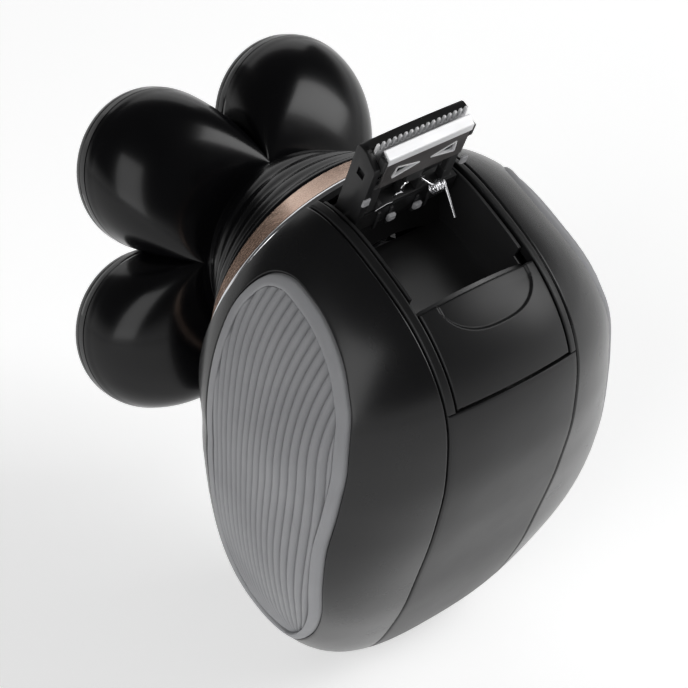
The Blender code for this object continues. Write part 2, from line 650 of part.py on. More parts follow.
COIL_TURNS = 3.5
COIL_CENTRE = (4.4, -3.5)
COIL_RADIUS = 1.25
coil_path = []
for i in range(int(COIL_TURNS * 10) + 1):
    a = 2 * math.pi * i / 10
    coil_path.append((-3.4 - 0.72 * i / 10, COIL_CENTRE[0] + COIL_RADIUS * math.cos(a),
                      COIL_CENTRE[1] + COIL_RADIUS * math.sin(a)))
end = Vector(coil_path[-1])
coil_path += [tuple(end + Vector((0, 0.15, -1.2))), tuple(end + Vector((0, -0.9, -3.0))), (end.x, 1.6, -8.2)]
wire("trimmer_spring", coil_path, 0.26, 5, SPRING_STEEL, parent=trimmer_frame)
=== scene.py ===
"""Detailed looks of the head shaver: every CAD piece is dressed or replaced by a finer mesh.

Lengths in this file are millimetres in the row frame; mesh_piece() turns them into metres.
"""
import math

import bmesh
import bpy
import numpy as np
from mathutils import Matrix, Vector


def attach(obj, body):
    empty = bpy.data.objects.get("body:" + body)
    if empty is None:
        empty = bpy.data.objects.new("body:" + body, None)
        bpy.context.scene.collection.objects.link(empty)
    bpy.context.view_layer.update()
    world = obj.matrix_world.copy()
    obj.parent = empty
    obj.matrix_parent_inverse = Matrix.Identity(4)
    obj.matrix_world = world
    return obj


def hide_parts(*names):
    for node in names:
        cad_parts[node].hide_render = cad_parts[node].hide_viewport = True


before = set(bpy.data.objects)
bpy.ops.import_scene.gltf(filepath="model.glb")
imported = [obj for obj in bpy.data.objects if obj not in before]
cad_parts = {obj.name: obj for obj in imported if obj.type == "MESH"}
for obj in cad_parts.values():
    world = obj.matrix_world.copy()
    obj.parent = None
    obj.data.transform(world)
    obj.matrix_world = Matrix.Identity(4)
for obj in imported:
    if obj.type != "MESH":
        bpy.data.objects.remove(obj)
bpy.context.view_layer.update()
MM = 0.001

# ------------------------------------------------------------------ materials


def node_tree(name):
    mat = bpy.data.materials.new(name)
    mat.use_nodes = True
    tree = mat.node_tree
    return mat, tree, tree.nodes["Principled BSDF"]


def noise(tree, scale, detail=4.0, stretch=(1, 1, 1)):
    """Noise value in the object's own space, in metres, so that it moves with its piece."""
    place = tree.nodes.new("ShaderNodeTexCoord")
    mapping = tree.nodes.new("ShaderNodeMapping")
    mapping.inputs["Scale"].default_value = stretch
    texture = tree.nodes.new("ShaderNodeTexNoise")
    texture.inputs["Scale"].default_value = scale
    texture.inputs["Detail"].default_value = detail
    tree.links.new(place.outputs["Object"], mapping.inputs["Vector"])
    tree.links.new(mapping.outputs["Vector"], texture.inputs["Vector"])
    return texture.outputs["Fac"]


def spread(tree, value, low, high):
    """Map a noise value onto a range."""
    remap = tree.nodes.new("ShaderNodeMapRange")
    remap.inputs["From Min"].default_value = 0.3
    remap.inputs["From Max"].default_value = 0.7
    remap.inputs["To Min"].default_value = low
    remap.inputs["To Max"].default_value = high
    tree.links.new(value, remap.inputs["Value"])
    return remap.outputs["Result"]


def two_tone(tree, value, dark, light):
    ramp = tree.nodes.new("ShaderNodeValToRGB")
    ramp.color_ramp.elements[0].position = 0.35
    ramp.color_ramp.elements[0].color = (*dark, 1)
    ramp.color_ramp.elements[1].position = 0.65
    ramp.color_ramp.elements[1].color = (*light, 1)
    tree.links.new(value, ramp.inputs["Fac"])
    return ramp.outputs["Color"]


def bump(tree, shader, value, height, strength=1.0):
    node = tree.nodes.new("ShaderNodeBump")
    node.inputs["Strength"].default_value = strength
    node.inputs["Distance"].default_value = height * MM
    tree.links.new(value, node.inputs["Height"])
    tree.links.new(node.outputs["Normal"], shader.inputs["Normal"])


def plastic(name, dark, light, rough, grain_scale, grain_height, coat=0.0, coat_rough=0.05, sheen=0.5):
    """Moulded plastic or rubber: mottled colour, uneven roughness and a fine grain."""
    mat, tree, shader = node_tree(name)
    tone = noise(tree, 60, 3)
    tree.links.new(two_tone(tree, tone, dark, light), shader.inputs["Base Color"])
    tree.links.new(spread(tree, noise(tree, 180, 5), *rough), shader.inputs["Roughness"])
    shader.inputs["Specular IOR Level"].default_value = sheen
    shader.inputs["Coat Weight"].default_value = coat
    shader.inputs["Coat Roughness"].default_value = coat_rough
    bump(tree, shader, noise(tree, grain_scale, 2), grain_height, 0.5)
    return mat


def metal(name, dark, light, rough, brush=(1, 1, 1), scale=900, metallic=1.0):
    """Metal with a brushed or plain grain; a stretched noise gives the brushing its direction."""
    mat, tree, shader = node_tree(name)
    grain = noise(tree, scale, 3, brush)
    tree.links.new(two_tone(tree, noise(tree, 90, 2), dark, light), shader.inputs["Base Color"])
    tree.links.new(spread(tree, grain, *rough), shader.inputs["Roughness"])
    shader.inputs["Metallic"].default_value = metallic
    bump(tree, shader, grain, 0.004, 0.4)
    return mat


SATIN = plastic("body_satin_black", (0.006, 0.006, 0.0065), (0.0075, 0.0075, 0.008), (0.25, 0.28), 9000,
                0.004, 0.08, 0.2, 0.33)
BAND = plastic("band_satin_black", (0.0085, 0.0085, 0.009), (0.010, 0.010, 0.0105), (0.37, 0.40), 7000, 0.006,
               0.03, 0.3, 0.28)
PIANO = plastic("piano_black", (0.002, 0.002, 0.0025), (0.003, 0.003, 0.0035), (0.2, 0.23), 300,
                0.002, 0.06, 0.08, 0.25)
MATT = plastic("matt_black", (0.012, 0.012, 0.0125), (0.018, 0.018, 0.019), (0.5, 0.62), 6000, 0.01)
TUB = plastic("bay_black", (0.016, 0.016, 0.0165), (0.021, 0.021, 0.022), (0.34, 0.45), 5000, 0.006)
RUBBER = plastic("grip_rubber", (0.25, 0.252, 0.262), (0.29, 0.292, 0.302), (0.62, 0.74), 5200, 0.012)
PAD_RUBBER = plastic("pad_rubber", (0.27, 0.27, 0.28), (0.33, 0.33, 0.34), (0.6, 0.7), 4000, 0.01)
NATURAL = plastic("natural_plastic", (0.62, 0.61, 0.57), (0.70, 0.69, 0.65), (0.38, 0.48), 3000, 0.005)
SHRINK = plastic("battery_shrink_wrap", (0.03, 0.13, 0.28), (0.045, 0.17, 0.34), (0.25, 0.4), 1500, 0.01, 0.3)
SOLDER_MASK = plastic("solder_mask", (0.015, 0.11, 0.04), (0.03, 0.17, 0.07), (0.3, 0.45), 2500, 0.01)
LENS = plastic("lens_blue", (0.06, 0.22, 0.5), (0.1, 0.3, 0.62), (0.08, 0.14), 2000, 0.002, 0.5)
ROSE = metal("rose_gold", (0.74, 0.50, 0.38), (0.84, 0.60, 0.47), (0.2, 0.3), (1, 1, 0.05), 1400, 0.75)
STEEL = metal("brushed_steel", (0.55, 0.55, 0.57), (0.66, 0.66, 0.68), (0.2, 0.34), (0.06, 1, 1), 2600)
BRIGHT = metal("polished_steel", (0.74, 0.74, 0.76), (0.84, 0.84, 0.86), (0.10, 0.2), (0.06, 1, 1), 2600)
# dark steel tint: painted shade on the blade cover's plate under the bar, darker than the pale bar and window
# edges of the same cover
SHADED_DARK_STEEL = metal("dark_steel_painted_shade", (0.10, 0.095, 0.095), (0.16, 0.15, 0.15), (0.3, 0.42),
                   (0.06, 1, 1), 2200, 0.6)
# pale, partly unmetallic steel: partly the satin steel of the comb and the blade cover, partly a painted glint
# that makes teeth, bar and window edges read white
GLINT_PALE_STEEL = metal("satin_steel_painted_glint", (0.76, 0.76, 0.77), (0.85, 0.85, 0.86), (0.4, 0.5),
                   (0.06, 1, 1), 2400, 0.35)
WIRE_STEEL = metal("spring_wire", (0.6, 0.6, 0.62), (0.78, 0.78, 0.8), (0.16, 0.3), (1, 1, 1), 3000)
BRASS = metal("brass", (0.62, 0.44, 0.16), (0.74, 0.54, 0.22), (0.22, 0.34), (1, 1, 1), 1500)

# ------------------------------------------------------------------ mesh helpers


def mesh_piece(name, points, faces, mat, body, replaces=(), slot=None, angle=32, frame_matrix=None):
    """One shown piece from points in millimetres; frame_matrix places a local frame in the row frame."""
    points = np.asarray(points, float) * MM
    if frame_matrix is not None:
        m = np.array(frame_matrix, float)
        points = points @ m[:3, :3].T + m[:3, 3]
    mesh = bpy.data.meshes.new(name)
    mesh.from_pydata([tuple(p) for p in points], [], faces)
    bm = bmesh.new()
    bm.from_mesh(mesh)
    bmesh.ops.remove_doubles(bm, verts=bm.verts, dist=1e-7)
    bmesh.ops.recalc_face_normals(bm, faces=bm.faces)
    bm.to_mesh(mesh)
    bm.free()
    mesh.materials.append(mat)
    mesh.shade_smooth()
    mesh.set_sharp_from_angle(angle=math.radians(angle))
    obj = bpy.data.objects.new(name, mesh)
    bpy.context.collection.objects.link(obj)
    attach(obj, body)
    if replaces:
        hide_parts(*replaces)
    return obj


def sheet_faces(rows, cols, wrap_rows=False, wrap_cols=False, start=0):
    """Quads of a grid of points stored row after row."""
    faces = []
    for i in range(rows if wrap_rows else rows - 1):
        for j in range(cols if wrap_cols else cols - 1):
            a = start + i * cols + j
            b = start + i * cols + (j + 1) % cols
            c = start + ((i + 1) % rows) * cols + (j + 1) % cols
            d = start + ((i + 1) % rows) * cols + j
            faces.append((a, b, c, d))
    return faces


class Build:
    """Collects several grids, rings and blocks into one mesh."""

    def __init__(self):
        self.points = []
        self.faces = []

    def grid(self, rows, wrap_rows=False, wrap_cols=False):
        start = len(self.points)
        for row in rows:
            self.points.extend([tuple(p) for p in row])
        self.faces += sheet_faces(len(rows), len(rows[0]), wrap_rows, wrap_cols, start)
        return self

    def cap(self, ring):
        start = len(self.points)
        self.points.extend([tuple(p) for p in ring])
        self.faces.append(tuple(range(start, start + len(ring))))
        return self

    def stack(self, rings, closed=False):
        """Rings skinned one after the other; closed joins last to first, else both ends are capped."""
        self.grid(rings, wrap_rows=closed, wrap_cols=True)
        if not closed:
            self.cap(rings[0])
            self.cap(rings[-1])
        return self

    def turned(self, profile, count=64, closed=False, centre=(0.0, 0.0)):
        rings = []
        for r, z in profile:
            rings.append([(centre[0] + r * math.cos(2 * math.pi * k / count),
                           centre[1] + r * math.sin(2 * math.pi * k / count), z) for k in range(count)])
        return self.stack(rings, closed)

    def box(self, low, high, soft=0.0):
        """A block with its upright and level edges softened by a small chamfer."""
        s = soft
        rings = []
        for z, inset in ((low[2], s), (low[2] + s, 0.0), (high[2] - s, 0.0), (high[2], s)):
            x0, x1, y0, y1 = low[0] + inset, high[0] - inset, low[1] + inset, high[1] - inset
            rings.append([(x0 + s, y0, z), (x1 - s, y0, z), (x1, y0 + s, z), (x1, y1 - s, z), (x1 - s, y1, z),
                          (x0 + s, y1, z), (x0, y1 - s, z), (x0, y0 + s, z)])
        return self.stack(rings)

    def piece(self, name, mat, body, **options):
        return mesh_piece(name, self.points, self.faces, mat, body, **options)


def smooth_curve(points, closed, steps):
    """Points along a Catmull-Rom curve through the given ones."""
    count = len(points)
    points = [np.array(p, float) for p in points]
    out = []
    for i in range(count if closed else count - 1):
        if closed:
            p0, p1, p2, p3 = (points[(i + k) % count] for k in (-1, 0, 1, 2))
        else:
            p0, p1, p2, p3 = (points[min(max(i + k, 0), count - 1)] for k in (-1, 0, 1, 2))
        for s in range(steps):
            t = s / steps
            out.append(0.5 * (2 * p1 + (p2 - p0) * t + (2 * p0 - 5 * p1 + 4 * p2 - p3) * t * t
                              + (3 * p1 - p0 - 3 * p2 + p3) * t**3))
    if not closed:
        out.append(points[-1])
    return np.array(out)


def carry_over(name, mat):
    """A CAD node that is shown as it is, in a detailed material."""
    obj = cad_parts[name]
    obj.data.materials.clear()
    obj.data.materials.append(mat)
    return obj


def carve(obj, *cutters, angle=32):
    """Subtract closed guide pieces for good, and mark the new edges."""
    for cutter in cutters:
        step = obj.modifiers.new("cut", "BOOLEAN")
        step.operation = "DIFFERENCE"
        step.solver = "EXACT"
        step.object = cutter
    bpy.context.view_layer.update()
    mesh = bpy.data.meshes.new_from_object(obj.evaluated_get(bpy.context.evaluated_depsgraph_get()))
    obj.modifiers.clear()
    obj.data = mesh
    mesh.shade_smooth()
    mesh.set_sharp_from_angle(angle=math.radians(angle))
    for cutter in cutters:
        bpy.data.objects.remove(cutter)
    return obj

# ------------------------------------------------------------------ the egg-shaped body
# outline in the side view as (y, z)
SIDE_OUTLINE = [(-3, 99), (14, 96), (25, 90.5), (32.5, 81), (33.8, 68), (31.5, 53), (27, 37), (20.5, 19),
                (12.5, 4), (1.5, -2.3), (-7.5, 1), (-11.3, 13), (-13.3, 31), (-14.4, 46), (-17, 60),
                (-18.5, 78), (-12, 93.5)]
EGG_Y, EGG_Z = 5.0, 61.0
HALF_WIDTH = 34.8
SEAM_SCALE = 0.9515
# how squarely the body falls to its flanks: (angle round the side view in degrees, power)
POWERS = [(-180, 2.68), (-150, 3.24), (-120, 3.1), (-95, 2.3), (-75, 2.9), (-55, 3.65), (-35, 3.15),
          (-12, 2.62), (15, 2.25), (50, 2.13), (90, 2.1), (135, 2.5)]
BAND_HALF = 12.9
LEAF_OUTLINE = [(4.4, 91.6), (9.6, 90.3), (14.3, 88.2), (18.6, 85.3), (21.6, 81.8), (23.8, 77.4),
                (24.8, 70.3), (24.2, 61.7), (23.0, 53), (21.9, 43.6), (20.2, 35), (17.1, 27.2), (13.6, 21.3),
                (9.8, 17.2), (6.6, 17.4), (4.0, 20.2), (1.6, 25), (-0.5, 32), (-1.8, 40), (-2.3, 48),
                (-2.2, 56), (-2.0, 64), (-2.1, 72), (-2.5, 80), (-2.3, 86), (0.2, 90.4)]
LEAF_Y, LEAF_Z = 9.0, 62.0
OPENING_TILT = math.radians(12)
OPENING_TOP = np.array([0, -3.0, 99.0])
OPENING_OUT = np.array([0, -math.cos(OPENING_TILT), math.sin(OPENING_TILT)])


def polar_table(outline, cy, cz):
    return sorted((math.atan2(z - cz, y - cy), math.hypot(y - cy, z - cz)) for y, z in outline)


def radius_at(table, angle):
    """Smooth closed curve through a polar table, read at one angle."""
    count, turn = len(table), 2 * math.pi
    angle = (angle + math.pi) % turn - math.pi
    below = max((i for i in range(count) if table[i][0] <= angle), default=-1)
    (a0, r0), (a1, r1), (a2, r2), (a3, r3) = [
        (table[(below + k) % count][0] + turn * ((below + k) // count), table[(below + k) % count][1])
        for k in (-1, 0, 1, 2)]
    span = a2 - a1
    t = (angle - a1) / span
    m1, m2 = (r2 - r0) / (a2 - a0) * span, (r3 - r1) / (a3 - a1) * span
    return ((2 * t**3 - 3 * t**2 + 1) * r1 + (t**3 - 2 * t**2 + t) * m1
            + (3 * t**2 - 2 * t**3) * r2 + (t**3 - t**2) * m2)


TURNS = np.linspace(-math.pi, math.pi, 721)


def softened(table, spread):
    """Values all round a polar table, averaged over a few half degrees so that reflections run evenly."""
    values = np.array([radius_at(table, a) for a in TURNS[:-1]])
    reach = 3 * spread
    kernel = np.exp(-0.5 * (np.arange(-reach, reach + 1) / spread)**2)
    padded = np.concatenate([values[-reach:], values, values[:reach]])
    soft = np.convolve(padded, kernel / kernel.sum(), mode="valid")
    return np.append(soft, soft[0])


EGG_CURVE = softened(polar_table(SIDE_OUTLINE, EGG_Y, EGG_Z), 9)
POWER_CURVE = softened([(math.radians(degrees), power) for degrees, power in POWERS], 16)
LEAF_TABLE = polar_table(smooth_curve(LEAF_OUTLINE, True, 10), LEAF_Y, LEAF_Z)


def egg_reach(angle):
    """Distance from the egg's centre to its middle line, and the power of its fall towards the flanks."""
    angle = (angle + math.pi) % (2 * math.pi) - math.pi
    power = float(np.interp(angle, TURNS, POWER_CURVE))
    seam_fall = (1 - (BAND_HALF / HALF_WIDTH)**power) ** (1 / power)
    return float(np.interp(angle, TURNS, EGG_CURVE)) * SEAM_SCALE / seam_fall, power


def egg_point(x, angle, sink=0.0):
    middle, power = egg_reach(angle)
    share = min(abs(x) / (HALF_WIDTH - sink), 1.0)
    reach = (middle - sink) * (1 - share**power) ** (1 / power)
    return (x, EGG_Y + reach * math.cos(angle), EGG_Z + reach * math.sin(angle))


def egg_width(y, z, sink=0.0):
    """Half width of the sunk egg at a point of the side view, 0 outside it."""
    middle, power = egg_reach(math.atan2(z - EGG_Z, y - EGG_Y))
    share = math.hypot(y - EGG_Y, z - EGG_Z) / (middle - sink)
    return (HALF_WIDTH - sink) * (1 - min(share, 1.0)**power) ** (1 / power)


def egg_gauge(p):
    """Grows from 0 at the egg's heart to 1 on its surface."""
    middle, power = egg_reach(math.atan2(p[2] - EGG_Z, p[1] - EGG_Y))
    reach = math.hypot(p[1] - EGG_Y, p[2] - EGG_Z)
    return (abs(p[0] / HALF_WIDTH)**power + (reach / middle)**power) ** (1 / power)


def egg_normal(p):
    step = 0.05
    slope = np.array([egg_gauge(p + d) - egg_gauge(p - d) for d in np.eye(3) * step])
    return slope / np.linalg.norm(slope)


def angle_of(y, z):
    return math.atan2(z - EGG_Z, y - EGG_Y)


def before_opening(p, gap=0.0):
    return float(np.dot(np.array(p) - OPENING_TOP, OPENING_OUT)) < -gap


def smooth_line(heights, values, z):
    """Value at a height on a smooth line through a few knots."""
    dense = np.linspace(heights[0], heights[-1], 60)
    rough = np.interp(dense, heights, values)
    kernel = np.hanning(15)
    padded = np.pad(rough, 7, mode="reflect", reflect_type="odd")
    soft = np.convolve(padded, kernel / kernel.sum(), mode="valid")
    return float(np.interp(z, dense, soft))


def flank_reach(direction, half, gap):
    """Reach of the flank from the leaf's centre, up to the seam's half width or a gap behind the opening."""
    cy, cz = math.cos(direction), math.sin(direction)
    low, high = 0.0, 80.0
    for _ in range(34):
        r = (low + high) / 2
        y, z = LEAF_Y + r * cy, LEAF_Z + r * cz
        inside = egg_width(y, z) > half and before_opening((0, y, z), gap)
        low, high = (r, high) if inside else (low, r)
    return low


def flank(name, node, side):
    """Outer skin between the grip's recess and the seam, with rolled edges and a wall behind both."""
    turns = [2 * math.pi * i / 240 for i in range(240)]
    roll = 0.4
    columns = []
    for a in turns:
        r0, r1 = radius_at(LEAF_TABLE, a) + 0.35, flank_reach(a, BAND_HALF + 0.13, 0.05)

        def skin(share):
            y = LEAF_Y + (r0 + (r1 - r0) * share) * math.cos(a)
            z = LEAF_Z + (r0 + (r1 - r0) * share) * math.sin(a)
            return np.array([egg_width(y, z), y, z])

        def share_inside(edge, low, high):
            """Share at which the skin is one roll away from an edge, measured straight."""
            for _ in range(22):
                middle = (low + high) / 2
                far = float(np.linalg.norm(skin(middle) - skin(edge))) > roll
                low, high = (low, middle) if far == (edge == 0.0) else (middle, high)
            return middle

        first, last = share_inside(0.0, 0.0, 0.5), share_inside(1.0, 0.5, 1.0)
        column = []
        for edge, near in ((0.0, first), (1.0, last)):
            base = skin(edge)
            out = egg_normal(base)
            along = skin(near) - base
            along -= out * float(np.dot(along, out))
            along /= np.linalg.norm(along)
            bend = [base + along * roll * (1 - math.cos(t)) - out * roll * (1 - math.sin(t))
                    for t in (0, 0.3, 0.65, 1.0, 1.3)]
            wall = [base + along * 0.8 - out * 2.2, base - out * 2.0] if edge else [base - out * 1.6]
            column.append(wall + bend)
        middle = [skin(first + (last - first) * math.sin(math.pi / 2 * k / 28)) for k in range(29)]
        columns.append(column[0] + middle + column[1][::-1])
    rows = [[(side * p[0], p[1], p[2]) for p in row] for row in zip(*columns)]
    return Build().grid(rows, wrap_cols=True).piece(name, SATIN, "body", replaces=(node,), slot="satin_black",
                                                    angle=50)


BORDER = 1.9
RIBS = 16
# the ribs' first and last line in the side view, from the tip up, as (height, first, last)
RIB_FAN = [(15, 10.5, 10.9), (18, 8.6, 11), (21, 6.6, 12.6), (25, 4.6, 14.9), (31, 2.3, 17.4),
           (41, 0.5, 20.3), (50, 0.4, 21.7), (57, 1.0, 22.3), (66, 1.4, 22.6), (75, 0.3, 22.2),
           (81, -1.8, 22.2), (86, -3.4, 22.6), (94, -3.0, 23.4)]


def leaf_edge(grow, count=480):
    turns = [2 * math.pi * i / count - math.pi for i in range(count)]
    return [(LEAF_Y + (radius_at(LEAF_TABLE, a) + grow) * math.cos(a),
             LEAF_Z + (radius_at(LEAF_TABLE, a) + grow) * math.sin(a)) for a in turns]


def inward_steps(points):
    """Side-view steps into a closed outline that are 1 mm long on the egg's surface."""
    p = np.array(points)
    ahead = np.roll(p, -2, 0) - np.roll(p, 2, 0)
    ahead /= np.linalg.norm(ahead, axis=1)[:, None]
    inward = np.stack([-ahead[:, 1], ahead[:, 0]], 1)
    slope = [(egg_width(*(q + d)) - egg_width(*q)) for q, d in zip(p, inward)]
    return inward / np.sqrt(1 + np.array(slope)**2)[:, None]


def grip(name, node, side):
    """Rubber leaf with a smooth raised border round a fan of rounded ribs."""
    build = Build()
    edge = np.array(leaf_edge(-0.05))
    steps = inward_steps(edge)

    def ring(depth, rise):
        return [(side * egg_width(y, z, -rise), y, z) for y, z in edge + steps * depth]
    border = [(0.0, -0.9), (0.0, -0.15), (0.12, 0.08), (0.35, 0.2), (0.9, 0.26), (BORDER - 0.5, 0.24),
              (BORDER - 0.2, 0.14), (BORDER, -0.1), (BORDER + 0.05, -0.5)]
    build.grid([ring(d, r) for d, r in border], wrap_cols=True)

    inner = edge + steps * (BORDER + 0.02)
    fan = np.array(RIB_FAN)
    rows = []
    for z in np.linspace(inner[:, 1].min() + 0.02, inner[:, 1].max() - 0.02, 300):
        a, b = inner, np.roll(inner, -1, 0)
        hit = (a[:, 1] - z) * (b[:, 1] - z) <= 0
        t = (z - a[hit, 1]) / (b[hit, 1] - a[hit, 1] + 1e-9)
        ys = a[hit, 0] + t * (b[hit, 0] - a[hit, 0])
        first, last = smooth_line(fan[:, 0], fan[:, 1], z), smooth_line(fan[:, 0], fan[:, 2], z)
        phase = np.linspace(-3, RIBS + 2, (RIBS + 5) * 11 + 1)
        y_line = np.clip(first + (last - first) * phase / RIBS, ys.min(), ys.max())
        low = min(1.0, (last - first) / RIBS / 0.9)
        rib = np.abs(np.sin(math.pi * phase)) ** 0.6
        rows.append([(side * egg_width(y, z, 0.62 - 0.62 * h * low), y, z) for y, h in zip(y_line, rib)])
    build.grid(rows)
    return build.piece(name, RUBBER, "body", replaces=(node,), slot="grey_rubber", angle=60)


for label, side in (("left", 1), ("right", -1)):
    flank(label + "_flank_skin", label + "_shell", side)
    grip(label + "_ribbed_grip", label + "_grip", side)

# bands: strips over the egg, thin rails beside the trimmer's window
RAIL_INNER = 11.35
BAND_EDGE = BAND_HALF - 0.13
SLIDER_TOP = angle_of(22.4, 91.6)
SLIDER_BOTTOM = angle_of(32.6, 79.6)
FOOT_BACK = math.radians(-86.0)
FOOT_FRONT = math.radians(-103.9)
MM_ANGLE = 1 / 36


def opening_angle(x, sink, guess, gap=0.25):
    """Angle near the guess at which the sunk egg meets the opening plane."""
    step = math.radians(24)
    low, high = guess - step, guess + step
    front_is_high = before_opening(egg_point(x, low, sink), gap)
    for _ in range(30):
        middle = (low + high) / 2
        if before_opening(egg_point(x, middle, sink), gap) == front_is_high:
            low = middle
        else:
            high = middle
    return low


def strip(build, x0, x1, start, end, steps, columns, sink=0.0, wall=2.0, roll=0.4, level=None):
    """Curved closed slab between two widths and two angles, with softened edges all round."""
    turns = [math.pi / 2 * k / 4 for k in range(5)]
    rolled = [(roll * (1 - math.cos(t)), roll * (1 - math.sin(t))) for t in turns]
    across = [(x0 + inset, drop) for inset, drop in rolled]
    across += [(x0 + roll + (x1 - x0 - 2 * roll) * k / columns, 0.0) for k in range(1, columns)]
    across += [(x1 - inset, drop) for inset, drop in reversed(rolled)]
    along = [(inset * MM_ANGLE, drop, 0.0) for inset, drop in rolled]
    along += [(0.0, 0.0, k / steps) for k in range(1, steps)]
    along += [(inset * MM_ANGLE, drop, 1.0) for inset, drop in reversed(rolled)]
    rings = []
    for shift, end_drop, share in along:
        outer, inner = [], []
        for x, side_drop in across:
            first = start(x) if callable(start) else start
            last = end(x) if callable(end) else end
            toward = -1 if last < first else 1
            lip = roll * MM_ANGLE * toward
            if share == 0.0:
                angle = first + shift * toward
            elif share == 1.0:
                angle = last - shift * toward
            else:
                angle = first + lip + (last - first - 2 * lip) * share
            depth = sink + max(end_drop, side_drop) + (level(x, angle) if level else 0.0)
            outer.append(egg_point(x, angle, depth))
            inner.append(egg_point(x, angle, sink + wall))
        rings.append(outer + inner[::-1])
    build.stack(rings)


band = Build()
strip(band, -BAND_EDGE, BAND_EDGE, SLIDER_BOTTOM - math.radians(0.7), FOOT_BACK + math.radians(0.35), 90, 30)
for side in (1, -1):
    x0, x1 = sorted((side * RAIL_INNER, side * BAND_EDGE))
    strip(band, x0, x1, lambda x: opening_angle(x, 0.0, math.radians(108)), SLIDER_BOTTOM - math.radians(0.7),
          60, 4, roll=0.3)
band.piece("back_spine", BAND, "body", replaces=("back_band",), slot="satin_black", angle=50)


def dish(x, angle):
    """Depth of the slider's finger hollow: a shallow half moon open to the slider's top edge."""
    down = (SLIDER_TOP - angle) / MM_ANGLE
    across = abs(x + 0.6) / 8.8
    edge = 6.6 * max(1 - across**2.6, 0.0) ** 0.5
    inside = min(max((edge - down) / 0.5 + 0.5, 0.0), 1.0)
    inside *= min(max((1 - across) / 0.06, 0.0), 1.0)
    return 0.55 * inside * inside * (3 - 2 * inside) * min(max(1.15 - 0.5 * down / 6.6, 0.0), 1.0)


cover = Build()
strip(cover, -11.05, 11.05, SLIDER_TOP, SLIDER_BOTTOM, 110, 120, sink=0.1, wall=2.1, roll=0.35, level=dish)
cover.piece("thumb_slider_cover", BAND, "trimmer_slider", replaces=("trimmer_slider",), slot="satin_black",
            angle=60)

# front band with real holes for the button, the lens and the socket
BUTTON_Z, LENS_Z, SOCKET_Z = 29.0, 38.5, 14.0


def front_turned(name, profile, height, mat, body, count=64, **options):
    """Turned piece on a front-to-back axis; profile heights run towards -Y."""
    matrix = Matrix.Translation((0, 0, height * MM)) @ Matrix.Rotation(math.radians(90), 4, "X")
    return Build().turned(profile, count).piece(name, mat, body, frame_matrix=matrix, **options)


chin = Build()
strip(chin, -BAND_EDGE, BAND_EDGE, FOOT_FRONT - math.radians(0.35),
      lambda x: opening_angle(x, 0.0, math.radians(-162)), 70, 30)
chin = chin.piece("front_chin", BAND, "body", replaces=("front_band",), slot="satin_black", angle=50)
holes = [front_turned("hole", [(0, 6), (r, 6), (r, 26), (0, 26)], z, MATT, "body")
         for r, z in ((5.65, BUTTON_Z), (1.45, LENS_Z), (4.55, SOCKET_Z))]
carve(chin, *holes, angle=34)
front_turned("power_key", [(0, 9.0), (1.8, 9.0), (1.8, 10.4), (5.2, 10.4), (5.2, 12.3), (5.1, 12.6),
                           (4.9, 12.8), (4.5, 12.92), (3.9, 12.8), (2.6, 12.6), (1.3, 12.48), (0, 12.45)],
             BUTTON_Z, SATIN, "power_button", replaces=("power_button",), slot="satin_black")
mark = Build()
MARK_START, MARK_END = math.radians(118), math.radians(422)
MARK_RADIUS, MARK_TOP = 2.0, 12.63
arc = [MARK_START + (MARK_END - MARK_START) * k / 60 for k in range(61)]
mark.grid([[((MARK_RADIUS + w) * math.cos(a), (MARK_RADIUS + w) * math.sin(a), MARK_TOP + h) for a in arc]
           for w, h in ((0, -0.2), (0, 0), (0.38, 0.02), (0.38, -0.2))])
mark.box((-0.19, 1.3, 12.4), (0.19, 2.9, 12.7), 0.05)
mark.piece("power_mark", PAD_RUBBER, "power_button", frame_matrix=Matrix.Translation((0, 0, BUTTON_Z * MM))
           @ Matrix.Rotation(math.radians(90), 4, "X"))
front_turned("status_lens", [(0, 11.2), (1.15, 11.2), (1.15, 13.05), (1.0, 13.22), (0.6, 13.3), (0, 13.32)],
             LENS_Z, LENS, "body", replaces=("indicator_lens",), slot="clear_blue")
front_turned("socket_shell", [(0, 2.0), (4.3, 2.0), (4.3, 10.0), (4.15, 10.2), (3.1, 10.2), (2.9, 10.0),
                              (2.9, 2.9), (0, 2.9)], SOCKET_Z, MATT, "body",
             replaces=("charging_socket",), slot="matt_black")

# ------------------------------------------------------------------ head axis, collar and seat
NECK = np.array([0.0, -25.7, 66.4])
DIP = math.radians(22)
OUT = np.array([0, -math.cos(DIP), -math.sin(DIP)])
UP = np.array([0, -math.sin(DIP), math.cos(DIP)])
HEAD_FRAME = Matrix.Translation(Vector(NECK) * MM) @ Matrix.Rotation(math.pi / 2 + DIP, 4, "X")
OPENING_CENTRE = np.array([0, -7.9, 76.0])
OPENING_UP = np.array([0, math.sin(OPENING_TILT), math.cos(OPENING_TILT)])
RING_STEPS = 200


def head_circle(radius, out):
    turns = [2 * math.pi * i / RING_STEPS for i in range(RING_STEPS)]
    return [NECK + np.array([radius * math.sin(a), 0, 0]) + UP * radius * math.cos(a) + OUT * out
            for a in turns]


def opening_ring(sink, behind, shrink=0.0):
    """Outline of the sunk egg in a plane behind the opening, shrunk in that plane."""
    origin = OPENING_CENTRE - OPENING_OUT * behind
    ring = []
    for i in range(RING_STEPS):
        a = 2 * math.pi * i / RING_STEPS
        direction = np.array([math.sin(a), 0, 0]) + OPENING_UP * math.cos(a)
        low, high = 0.0, 60.0
        for _ in range(32):
            r = (low + high) / 2
            p = origin + direction * r
            low, high = (r, high) if abs(p[0]) < egg_width(p[1], p[2], sink) else (low, r)
        ring.append(origin + direction * (low - shrink))
    return ring


def between(ring_a, ring_b, share, lift=0.0):
    """Ring part way between two others, swollen away from the head axis."""
    out = []
    for p, q in zip(ring_a, ring_b):
        m = p + (q - p) * share
        away = m - NECK - OUT * float(np.dot(m - NECK, OUT))
        out.append(m + away / max(float(np.linalg.norm(away)), 1e-6) * lift)
    return out


